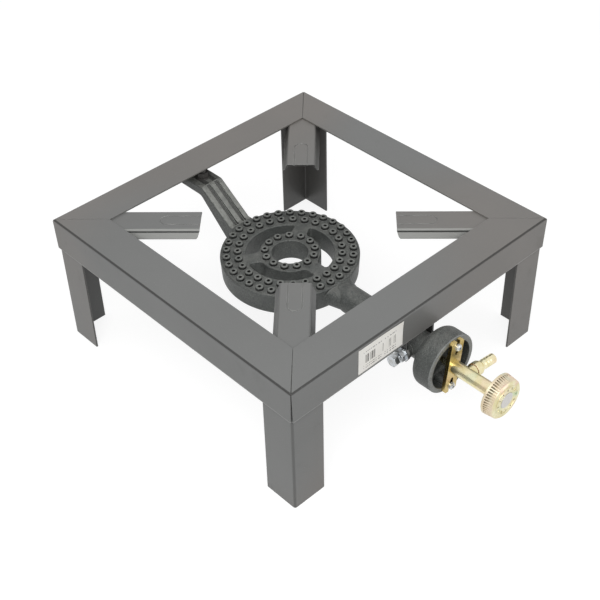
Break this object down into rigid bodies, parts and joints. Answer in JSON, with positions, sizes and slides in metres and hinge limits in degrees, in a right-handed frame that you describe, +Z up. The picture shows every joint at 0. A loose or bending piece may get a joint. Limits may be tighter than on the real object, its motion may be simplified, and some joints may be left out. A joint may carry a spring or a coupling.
{
  "type": "stock pot range",
  "caption": "Low square steel stand with pot fingers, a cast-iron ring burner hung in its middle and a brass needle valve in front that feeds gas into the burner's air bell.",
  "frame": {"origin": "on the floor, under the centre of the whole object's bounding box", "axes": "+Z up, the valve and its knob towards -Y, the hose nozzle towards +X and 7 degrees down"},
  "size_m": [0.4, 0.5106, 0.172],
  "materials": {
    "painted_steel": "satin dark grey baked enamel",
    "cast_iron": "sandy as-cast surface, black heat paint",
    "brass": "yellow passivated, satin",
    "bright_zinc": "bright zinc plated",
    "rubber": "matt",
    "fibre": "matt vulcanised fibre",
    "disc": "satin",
    "paper": "matt paper"
  },
  "bodies": {
    "stand": {"rail_front": "painted_steel", "rail_right": "painted_steel", "rail_rear": "painted_steel", "rail_left": "painted_steel", "leg_front_left": "painted_steel", "pot_finger_front_left": "painted_steel", "leg_front_right": "painted_steel", "pot_finger_front_right": "painted_steel", "leg_rear_right": "painted_steel", "pot_finger_rear_right": "painted_steel", "leg_rear_left": "painted_steel", "pot_finger_rear_left": "painted_steel", "leg_welds": "painted_steel", "finger_welds": "painted_steel", "mitre_welds": "painted_steel", "burner_hanger": "painted_steel", "burner_casting": "cast_iron", "rear_stud": "painted_steel", "rear_washers": "painted_steel", "rear_nuts": "painted_steel", "neck_bolt": "bright_zinc", "neck_washer": "bright_zinc", "neck_lock_nut": "bright_zinc", "valve_screws": "bright_zinc", "screw_washers": "bright_zinc", "valve_bracket": "brass", "valve_body": "brass", "injector": "brass", "hose_nozzle": "brass", "gland_nut": "brass", "nozzle_washer": "fibre", "label": "paper"},
    "needle": {"valve_needle": "brass"},
    "spindle": {"valve_spindle": "brass", "spindle_seal": "rubber", "knob": "brass", "knob_screw": "bright_zinc", "knob_cap": "disc"}
  },
  "joints": [
    {"name": "needle_lift", "type": "slide", "parent": "stand", "child": "needle", "axis": [0, -1, 0], "range_m": [0, 0.0015]},
    {"name": "knob_turn", "type": "hinge", "parent": "needle", "child": "spindle", "pos_m": [0, -0.24025, 0.1015], "axis": [0, -1, 0], "range_deg": [0, 540]}
  ],
  "couplings": [
    {"joint": "needle_lift", "follows": "knob_turn", "m_per_rad": 0.00015915}
  ]
}
